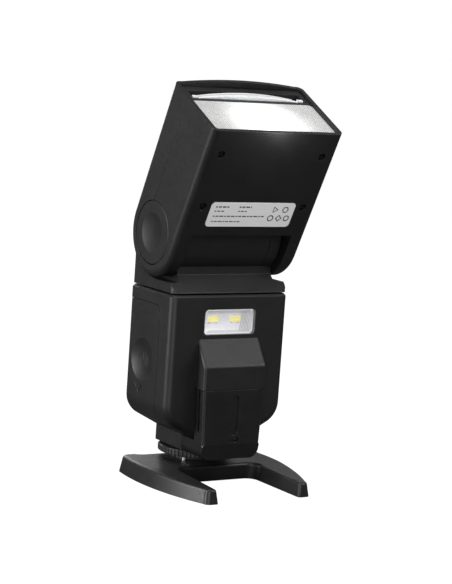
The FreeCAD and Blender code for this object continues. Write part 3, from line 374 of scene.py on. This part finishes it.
def wound(name, base):
    """Tape or wire wound in turns, one beside the other."""
    material, tree, shader = new_material(name)
    coords = place_coords(tree)
    turns = add(tree, "ShaderNodeTexWave", {"Vector": coords, "Scale": 600.0, "Distortion": 0.6},
                bands_direction="Z")
    # each turn darker in its trough: painted shade in the grooves between the turns
    darker = tuple(c * 0.6 for c in base[:3]) + (1.0,)
    tree.links.new(blend_colors(tree, turns.outputs["Fac"], darker, base), shader.inputs["Base Color"])
    bump_and_edge(tree, shader, turns.outputs["Fac"], 0.4, 0.05, 0.1)
    shader.inputs["Roughness"].default_value = 0.42
    return material


def make_materials():
    """One material for each slot of the record, and a few that differ within a slot."""
    black = gray(0.0060)
    black_light = gray(0.0090)
    made = {
        "case_plastic": moulded("case_plastic", black, black_light, 0.47, seam=case_seam),
        "head_plastic": moulded("head_plastic", black, black_light, 0.47, seam=head_seam),
        "cover_plastic": moulded("cover_plastic", gray(0.006), gray(0.009), 0.36, 0.25, 0.18),
        "door_plastic": moulded("door_plastic", black, gray(0.010), 0.45),
        "stand_plastic": moulded("stand_plastic", gray(0.006), gray(0.010), 0.42, 0.4, 0.35),
        "inner_plastic": moulded("inner_plastic", gray(0.012), gray(0.020), 0.5, 0.3, 0.25),
        "wheel_plastic": moulded("wheel_plastic", gray(0.012), gray(0.018), 0.44, 0.3, 0.3),
        "button_rubber": rubber("button_rubber", gray(0.035), gray(0.06)),
        "shoe_steel": brushed("shoe_steel", (0.62, 0.62, 0.64, 1.0), 0.26),
        "screw_steel": brushed("screw_steel", (0.10, 0.10, 0.105, 1.0), 0.34),
        "thread_brass": brushed("thread_brass", (0.72, 0.53, 0.24, 1.0), 0.28, (30.0, 30.0, 1.0)),
        "contact_nickel": brushed("contact_nickel", (0.72, 0.70, 0.66, 1.0), 0.2),
        "lens_clear": fresnel_glow("lens_clear"),
        "window_clear": clear_plastic("window_clear", (0.93, 0.93, 0.95, 1.0), 0.09),
        "window_smoked": clear_plastic("window_smoked", (0.02, 0.021, 0.023, 1.0), 0.72),
        # the tray, panel and card whites below carry a painted glow
        "tray_white": white_with_painted_glow("tray_white", (0.84, 0.84, 0.87, 1.0), 0.20),
        "chip_yellow": phosphor("chip_yellow"),
        "board_green": circuit_board("board_green"),
        "sleeve_black": moulded("sleeve_black", gray(0.012), gray(0.018), 0.25, 1.2, 0.1),
        "winding_tape": wound("winding_tape", (0.66, 0.48, 0.08, 1.0)),
        "reflector_silver": brushed("reflector_silver", (0.88, 0.88, 0.90, 1.0), 0.12, (1.0, 25.0, 25.0)),
        "tube_glass": clear_plastic("tube_glass", (0.9, 0.92, 0.95, 1.0), 0.4),
        "boot_silicone": rubber("boot_silicone", gray(0.6), gray(0.72)),
        "panel_clear": white_with_painted_glow("panel_clear", (0.66, 0.67, 0.68, 1.0), 0.16, 0.15, 1.2),
        "card_white": white_with_painted_glow("card_white", (0.78, 0.78, 0.77, 1.0), 0.10, 0.4, 6.0),
        "label_white": paper("label_white", (0.90, 0.89, 0.89, 1.0)),
        "screen_grey": paper("screen_grey", (0.30, 0.34, 0.29, 1.0)),
        "sensor_dark": clear_plastic("sensor_dark", (0.05, 0.012, 0.02, 1.0), 0.9, 0.05),
        # grey for the window's clear ribs and ledges: painted shade
        "rib_painted_shade": moulded("rib_painted_shade", gray(0.36), gray(0.46), 0.4, 0.3, 0.1, 0.0),
        # lighter copy of the case plastic for the neck: painted light, since the neck and barrel sit in the
        # head's shade
        "neck_plastic_painted_lighter": moulded("neck_plastic_painted_lighter", gray(0.008), gray(0.012), 0.42),
        "label_ink": moulded("label_ink", gray(0.05), gray(0.09), 0.5, 0.2, 0.05, 0.0),
    }
    return made


def dress(materials):
    """Gives every CAD node the material of its slot."""
    slots = {part["node"]: part["material_slot"] for part in record["subparts"]}
    in_head = frame_members("head")
    in_neck = frame_members("neck")
    for name, item in cad.items():
        key = slots[name]
        if key == "case_plastic" and name in in_head:
            key = "head_plastic"
        # the neck's parts get the lighter copy of the case plastic, as painted light
        if key == "case_plastic" and name in in_neck:
            key = "neck_plastic_painted_lighter"
        item.data.materials.clear()
        item.data.materials.append(materials[key])


def frame_members(body):
    return set(record["behaviour"]["bodies"][body])


# ---- mesh helpers ---------------------------------------------------------------------
def rounded_outline(u0, u1, v0, v1, radius, steps=5):
    """Corners of a rounded rectangle, counter-clockwise."""
    points = []
    centres = [(u1 - radius, v1 - radius, 0), (u0 + radius, v1 - radius, 90),
               (u0 + radius, v0 + radius, 180), (u1 - radius, v0 + radius, 270)]
    for cu, cv, start in centres:
        for i in range(steps + 1):
            angle = math.radians(start + 90.0 * i / steps)
            points.append((cu + radius * math.cos(angle), cv + radius * math.sin(angle)))
    return points


def add_plate(mesh, outline, low, high, to_place, crown=0.0):
    """Solid plate from an outline (u, v); to_place turns (u, v, w) into a point in metres."""
    bottom = [mesh.verts.new(to_place(u, v, low)) for u, v in outline]
    top = [mesh.verts.new(to_place(u, v, high)) for u, v in outline]
    count = len(outline)
    for i in range(count):
        j = (i + 1) % count
        mesh.faces.new((bottom[i], bottom[j], top[j], top[i]))
    mesh.faces.new(list(reversed(bottom)))
    if crown <= 0:
        mesh.faces.new(top)
        return
    middle_u = sum(u for u, v in outline) / count
    middle_v = sum(v for u, v in outline) / count
    inner = []
    for u, v in outline:
        shrunk_u = middle_u + (u - middle_u) * 0.6
        shrunk_v = middle_v + (v - middle_v) * 0.6
        inner.append(mesh.verts.new(to_place(shrunk_u, shrunk_v, high + crown)))
    for i in range(count):
        j = (i + 1) % count
        mesh.faces.new((top[i], top[j], inner[j], inner[i]))
    mesh.faces.new(inner)


def add_ring(mesh, centre, outer, inner, low, high, to_place, steps=28):
    """Flat ring with square edges."""
    loops = []
    for radius, level in ((outer, low), (outer, high), (inner, high), (inner, low)):
        loop = []
        for i in range(steps):
            angle = 2 * math.pi * i / steps
            u = centre[0] + radius * math.cos(angle)
            v = centre[1] + radius * math.sin(angle)
            loop.append(mesh.verts.new(to_place(u, v, level)))
        loops.append(loop)
    for k in range(4):
        first = loops[k]
        second = loops[(k + 1) % 4]
        for i in range(steps):
            j = (i + 1) % steps
            mesh.faces.new((first[i], first[j], second[j], second[i]))


def finish_piece(mesh, name, material, body, smooth=False):
    """Turns built geometry into an object that rides on a body."""
    bmesh.ops.recalc_face_normals(mesh, faces=mesh.faces)
    data = bpy.data.meshes.new(name)
    mesh.to_mesh(data)
    mesh.free()
    for polygon in data.polygons:
        polygon.use_smooth = smooth
    data.materials.append(material)
    piece = bpy.data.objects.new(name, data)
    bpy.context.scene.collection.objects.link(piece)
    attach(piece, body)
    return piece


def on_head_front(u, v, w):
    """u across, v up the head, w out of its front face, in millimetres."""
    return HEAD @ (Vector((u, HEAD_FRONT - w, v)) * MM)


def on_head_rim(u, v, w):
    return HEAD @ (Vector((u, v, w)) * MM)


# ---- head pieces ----------------------------------------------------------------------
def make_lens_sheet(materials):
    """Pane with crossed ribs on its face; its rim drops to the frame below."""
    mesh = bmesh.new()
    half_pitch = LENS_PITCH / 2
    columns = int(2 * LENS_HALF / half_pitch)
    rows = int((LENS_REAR - LENS_FRONT) / half_pitch)
    corner = 2.4
    rib = 0.16
    grid = []
    for r in range(rows + 1):
        line = []
        for c in range(columns + 1):
            x = -LENS_HALF + 2 * LENS_HALF * c / columns
            y = LENS_FRONT + (LENS_REAR - LENS_FRONT) * r / rows
            dx = max(0.0, abs(x) - (LENS_HALF - corner))
            middle = (LENS_FRONT + LENS_REAR) / 2
            half_depth = (LENS_REAR - LENS_FRONT) / 2
            dy = max(0.0, abs(y - middle) - (half_depth - corner))
            reach = math.hypot(dx, dy)
            if reach > corner:
                x -= math.copysign(dx * (1 - corner / reach), x)
                y -= math.copysign(dy * (1 - corner / reach), y - middle)
            rim = r in (0, rows) or c in (0, columns)
            raised = rib if (r + c) % 2 == 0 and not rim else 0.0
            line.append(mesh.verts.new(on_head_rim(x, y, LENS_TOP - rib - 0.04 + raised)))
        grid.append(line)
    for r in range(rows):
        for c in range(columns):
            mesh.faces.new((grid[r][c], grid[r][c + 1], grid[r + 1][c + 1], grid[r + 1][c]))
    border = [edge for edge in mesh.edges if edge.is_boundary]
    skirt = bmesh.ops.extrude_edge_only(mesh, edges=border)["geom"]
    down = HEAD.to_3x3() @ Vector((0, 0, -1.2 * MM))
    for item in skirt:
        if isinstance(item, bmesh.types.BMVert):
            item.co += down
    piece = finish_piece(mesh, "lens_sheet", materials["lens_clear"], "head")
    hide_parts("fresnel_lens")


def make_label_print(materials):
    """Generic marks on the label: rows of plain bars, and five simple shapes."""
    mesh = bmesh.new()
    low = 0.2
    high = 0.235
    rows = [(31.6, [(-22.8, -14.6), (-8.5, -1.0)], 0.8), (29.0, [(-22.8, -17.0), (-8.5, -3.2)], 0.6),
            (25.9, [(-22.8, 8.5)], 0.7), (22.7, [(-22.8, -5.5)], 0.6)]
    for v, spans, thick in rows:
        for start, end in spans:
            u = start
            k = 0
            while u < end:
                width = 1.1 + 0.6 * ((k * 7) % 3)
                stop = min(end, u + width)
                add_plate(mesh, [(u, v - thick / 2), (stop, v - thick / 2), (stop, v + thick / 2),
                                 (u, v + thick / 2)], low, high, on_head_front)
                u = stop + 0.6
                k += 1
    add_ring(mesh, (12.6, 24.9), 1.9, 1.3, low, high, on_head_front)
    add_ring(mesh, (17.6, 24.9), 2.1, 1.4, low, high, on_head_front, 4)
    add_ring(mesh, (22.4, 24.9), 1.8, 1.2, low, high, on_head_front)
    add_ring(mesh, (13.8, 30.2), 2.2, 1.4, low, high, on_head_front, 3)
    add_ring(mesh, (20.2, 30.2), 2.0, 1.4, low, high, on_head_front, 6)
    finish_piece(mesh, "label_print", materials["label_ink"], "head")


def make_panel_ribs(materials):
    """Shallow ribs across the wide panel's outer end."""
    mesh = bmesh.new()
    lower = 70.5
    for i in range(24):
        u = -28.8 + i * 2.5
        top = 74.6 + 1.6 * (1 - (u / 30.5) ** 2)
        add_plate(mesh, rounded_outline(u - 0.35, u + 0.35, 11.85, 12.02, 0.05, 2), lower, top, on_head_rim)
    finish_piece(mesh, "panel_ribs", materials["panel_clear"], "panel")


# ---- body pieces ----------------------------------------------------------------------
def make_lamp_emitters(materials):
    """Two surface-mount lamps: white housing, yellow gel window and end contacts."""
    low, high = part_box("lamp_chips")
    half = (high.z - low.z) / 2 / MM
    level = (high.z + low.z) / 2 / MM
    width = CHIP_HALF
    rim_u = 0.5
    rim_v = 0.45
    front = low.y / MM

    def to_place(u, v, w):
        return Vector((u, front + 0.9 - w, v)) * MM

    housings = bmesh.new()
    gels = bmesh.new()
    contacts = bmesh.new()
    for centre in (low.x / MM + width, high.x / MM - width):
        outline = rounded_outline(centre - width, centre + width, level - half, level + half, 0.3)
        add_plate(housings, outline, 0.0, 0.62, to_place)
        gel = rounded_outline(centre - width + rim_u, centre + width - rim_u,
                              level - half + rim_v, level + half - rim_v, 0.7)
        add_plate(gels, gel, 0.5, 0.7, to_place, 0.15)
        for side in (-1, 1):
            start = centre + side * width * 0.55
            bar = [(start - 0.7, level - half - 0.28), (start + 0.7, level - half - 0.28),
                   (start + 0.7, level - half + 0.05), (start - 0.7, level - half + 0.05)]
            add_plate(contacts, bar, 0.0, 0.3, to_place)
    piece = finish_piece(housings, "lamp_housings", materials["tray_white"], "flash_body")
    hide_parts("lamp_chips")
    finish_piece(gels, "lamp_gels", materials["chip_yellow"], "flash_body", True)
    finish_piece(contacts, "lamp_contacts", materials["contact_nickel"], "flash_body")


def make_tray_ribs(materials):
    """Slanting ribs on the inner face of the lamp window, and ledges along its long edges; their grey is
    painted shade, the dark lines that clear ribs show.
    """
    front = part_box("lamp_chips")[0].y / MM

    def to_place(u, v, w):
        return Vector((u, front - w, v)) * MM

    mesh = bmesh.new()
    for k in range(8):
        start = 6.8 + 0.95 * k
        leaned = start + TRAY_RIB_LEAN
        rib = [(start, TRAY_RIB_LOW), (start + TRAY_RIB_WIDTH, TRAY_RIB_LOW),
               (leaned + TRAY_RIB_WIDTH, TRAY_RIB_HIGH), (leaned, TRAY_RIB_HIGH)]
        add_plate(mesh, rib, TRAY_RIB_BACK, TRAY_RIB_FRONT, to_place)
    for k in range(3):
        reach = 13.4 - k * 0.4
        for level in (81.3 + 0.5 * k, 92.5 - 0.5 * k):
            upper = level + LEDGE_WIDTH
            ledge = [(-reach, level), (reach, level), (reach, upper), (-reach, upper)]
            add_plate(mesh, ledge, TRAY_RIB_BACK, TRAY_RIB_FRONT, to_place)
    finish_piece(mesh, "tray_ribs", materials["rib_painted_shade"], "flash_body")


def make_key_marks(materials):
    """A raised generic sign on each rear key."""
    for name in ("mode", "minus", "plus", "test"):
        low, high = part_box("button_" + name)
        centre = ((low.x + high.x) / 2 / MM, (low.z + high.z) / 2 / MM)
        rear = high.y / MM

        def to_place(u, v, w):
            return Vector((centre[0] + u, rear + w, centre[1] + v)) * MM

        mesh = bmesh.new()
        if name in ("minus", "plus"):
            add_plate(mesh, rounded_outline(-1.4, 1.4, -0.22, 0.22, 0.1, 2), -0.05, 0.06, to_place)
        if name == "plus":
            add_plate(mesh, rounded_outline(-0.22, 0.22, -1.4, 1.4, 0.1, 2), -0.05, 0.06, to_place)
        if name == "mode":
            add_ring(mesh, (0.0, 0.0), 1.4, 1.0, -0.05, 0.06, to_place)
        if name == "test":
            add_plate(mesh, rounded_outline(-0.8, 0.8, -0.8, 0.8, 0.79, 5), -0.05, 0.06, to_place)
        finish_piece(mesh, "key_mark_" + name, materials["label_white"], name + "_key")


def make_screen_marks(materials):
    """Generic bars and blocks on the rear panel: no lettering."""
    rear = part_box("display_module")[1].y / MM
    bar_foot = 70.6
    bar_width = 2.2

    def to_place(u, v, w):
        return Vector((u, rear + w, v)) * MM

    mesh = bmesh.new()
    for i in range(12):
        height = 1.6 + 0.28 * i
        left = -17.6 + i * 3.0
        bar = [(left, bar_foot), (left + bar_width, bar_foot),
               (left + bar_width, bar_foot + height), (left, bar_foot + height)]
        add_plate(mesh, bar, 0.0, 0.05, to_place)
    for row in range(3):
        for column in range(4 - row):
            left = -17.6 + column * 7.2
            add_plate(mesh, rounded_outline(left, left + 5.2, 87.2 - row * 3.6, 88.4 - row * 3.6, 0.3, 2),
                      0.0, 0.05, to_place)
    add_ring(mesh, (15.0, 84.8), 2.9, 2.3, 0.0, 0.05, to_place)
    finish_piece(mesh, "screen_marks", materials["label_ink"], "flash_body")


def make_switch_marks(materials):
    """A ring and a bar beside the power switch: off and on."""
    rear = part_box("rear_shell")[1].y / MM

    def to_place(u, v, w):
        return Vector((u, rear + w, v)) * MM

    mesh = bmesh.new()
    add_ring(mesh, (-9.8, 40.3), 0.9, 0.6, -0.02, 0.03, to_place)
    add_plate(mesh, rounded_outline(9.5, 9.9, 39.3, 41.3, 0.15, 2), -0.02, 0.03, to_place)
    finish_piece(mesh, "switch_marks", materials["label_white"], "flash_body")


def make_insert_thread(materials):
    """The turned thread inside the stand's brass insert."""
    mesh = bmesh.new()
    radius = 2.6
    crest = 2.32
    pitch = 1.27
    steps = 24
    turns = 4
    low = 0.15
    root = radius + 0.02
    profile = ((root, 0.0), (crest, pitch * 0.42), (crest, pitch * 0.5), (root, pitch * 0.92))
    previous = None
    for i in range(steps * turns + 1):
        angle = 2 * math.pi * i / steps
        z = low + pitch * i / steps
        ring = []
        for r, dz in profile:
            point = Vector((r * math.cos(angle), r * math.sin(angle), z + dz * 0.75))
            ring.append(mesh.verts.new(point * MM))
        if previous:
            for k in range(4):
                m = (k + 1) % 4
                mesh.faces.new((previous[k], previous[m], ring[m], ring[k]))
        else:
            mesh.faces.new(ring)
        previous = ring
    mesh.faces.new(list(reversed(previous)))
    finish_piece(mesh, "insert_thread", materials["thread_brass"], "stand", True)


# ---- stage ----------------------------------------------------------------------------
def make_floor():
    """Wide pale floor that takes only a faint shadow."""
    mesh = bmesh.new()
    reach = 30.0
    level = cad_box[0].z - 0.0002
    corners = [(-reach, -reach), (reach, -reach), (reach, reach), (-reach, reach)]
    mesh.faces.new([mesh.verts.new((x, y, level)) for x, y in corners])
    data = bpy.data.meshes.new("floor")
    mesh.to_mesh(data)
    mesh.free()
    floor = bpy.data.objects.new("floor", data)
    bpy.context.scene.collection.objects.link(floor)
    material = bpy.data.materials.new("floor_paper")
    material.use_nodes = True
    tree = material.node_tree
    tree.nodes.clear()
    seen = add(tree, "ShaderNodeLightPath").outputs["Is Camera Ray"]
    strength = calc(tree, "MULTIPLY", seen, 0.99)
    glow = add(tree, "ShaderNodeEmission", {"Color": gray(1.0), "Strength": strength})
    dull = add(tree, "ShaderNodeBsdfDiffuse", {"Color": gray(0.10)})
    both = add(tree, "ShaderNodeAddShader", {0: glow.outputs[0], 1: dull.outputs[0]})
    add(tree, "ShaderNodeOutputMaterial", {"Surface": both.outputs[0]})
    data.materials.append(material)


def make_world():
    """White backdrop for the camera, and a dim even light for everything else."""
    world = bpy.data.worlds.new("studio")
    bpy.context.scene.world = world
    world.use_nodes = True
    tree = world.node_tree
    tree.nodes.clear()
    seen = add(tree, "ShaderNodeLightPath").outputs["Is Camera Ray"]
    strength = remap(tree, seen, 0.0, 1.0, AMBIENT, 1.0)
    shade = add(tree, "ShaderNodeBackground", {"Color": gray(1.0), "Strength": strength})
    add(tree, "ShaderNodeOutputWorld", {"Surface": shade.outputs[0]})


def add_softbox(name, place, target, width, height, watts):
    data = bpy.data.lights.new(name, "AREA")
    data.shape = "RECTANGLE"
    data.size = width
    data.size_y = height
    data.energy = watts
    light = bpy.data.objects.new(name, data)
    light.location = place
    aim = Vector(target) - Vector(place)
    light.rotation_mode = "QUATERNION"
    light.rotation_quaternion = aim.to_track_quat("-Z", "Y")
    light.visible_camera = False
    bpy.context.scene.collection.objects.link(light)
    return light


def make_lights():
    middle = (0.0, -0.01, 0.11)
    add_softbox("overhead", (-0.25, -0.35, 0.95), middle, 0.8, 0.6, 6.0)
    add_softbox("right_front", (0.62, -0.66, 0.66), middle, 0.55, 0.55, 5.5)
    add_softbox("left_side", (-1.15, 0.25, 0.32), middle, 0.35, 1.0, 21.0)
    add_softbox("right_rear", (0.75, 0.6, 0.5), middle, 0.4, 0.8, 0.8)
    add_softbox("rear_fill", (0.25, 1.35, 0.45), middle, 0.8, 0.5, 6.0)
    add_softbox("front_fill", (-0.75, -1.15, 0.06), middle, 0.6, 0.4, 9.0)


def make_flash_glow():
    """The lamp's own light, caught by the rim in front of the lens."""
    data = bpy.data.lights.new("flash_glow", "POINT")
    data.energy = 0.035
    data.shadow_soft_size = 0.006
    light = bpy.data.objects.new("flash_glow", data)
    light.location = HEAD @ (Vector((2.0, HEAD_FRONT - 9.0, LENS_TOP + 5.0)) * MM)
    light.visible_camera = False
    bpy.context.scene.collection.objects.link(light)
    light.parent = frame["bodies"]["head"]


def make_camera():
    azimuth = math.radians(CAMERA_AZIMUTH)
    elevation = math.radians(CAMERA_ELEVATION)
    back = Vector((math.sin(azimuth) * math.cos(elevation), -math.cos(azimuth) * math.cos(elevation),
                   math.sin(elevation)))
    level = Vector((math.cos(azimuth), math.sin(azimuth), 0.0))
    upright = back.cross(level)
    roll = math.radians(CAMERA_ROLL)
    right = level * math.cos(roll) + upright * math.sin(roll)
    up = upright * math.cos(roll) - level * math.sin(roll)
    data = bpy.data.cameras.new("camera")
    data.sensor_width = 36.0
    data.lens = CAMERA_LENS
    data.clip_start = 0.05
    data.clip_end = 100.0
    camera = bpy.data.objects.new("camera", data)
    turn = Matrix((right, up, back)).transposed().to_4x4()
    camera.matrix_world = Matrix.Translation(Vector(CAMERA_PLACE)) @ turn
    bpy.context.scene.collection.objects.link(camera)
    bpy.context.scene.camera = camera


def main():
    materials = make_materials()
    dress(materials)
    make_lens_sheet(materials)
    make_label_print(materials)
    make_panel_ribs(materials)
    make_lamp_emitters(materials)
    make_tray_ribs(materials)
    make_key_marks(materials)
    make_screen_marks(materials)
    make_switch_marks(materials)
    make_insert_thread(materials)
    make_floor()
    make_world()
    make_lights()
    make_flash_glow()
    make_camera()
    bpy.context.scene.view_settings.view_transform = "Standard"


main()
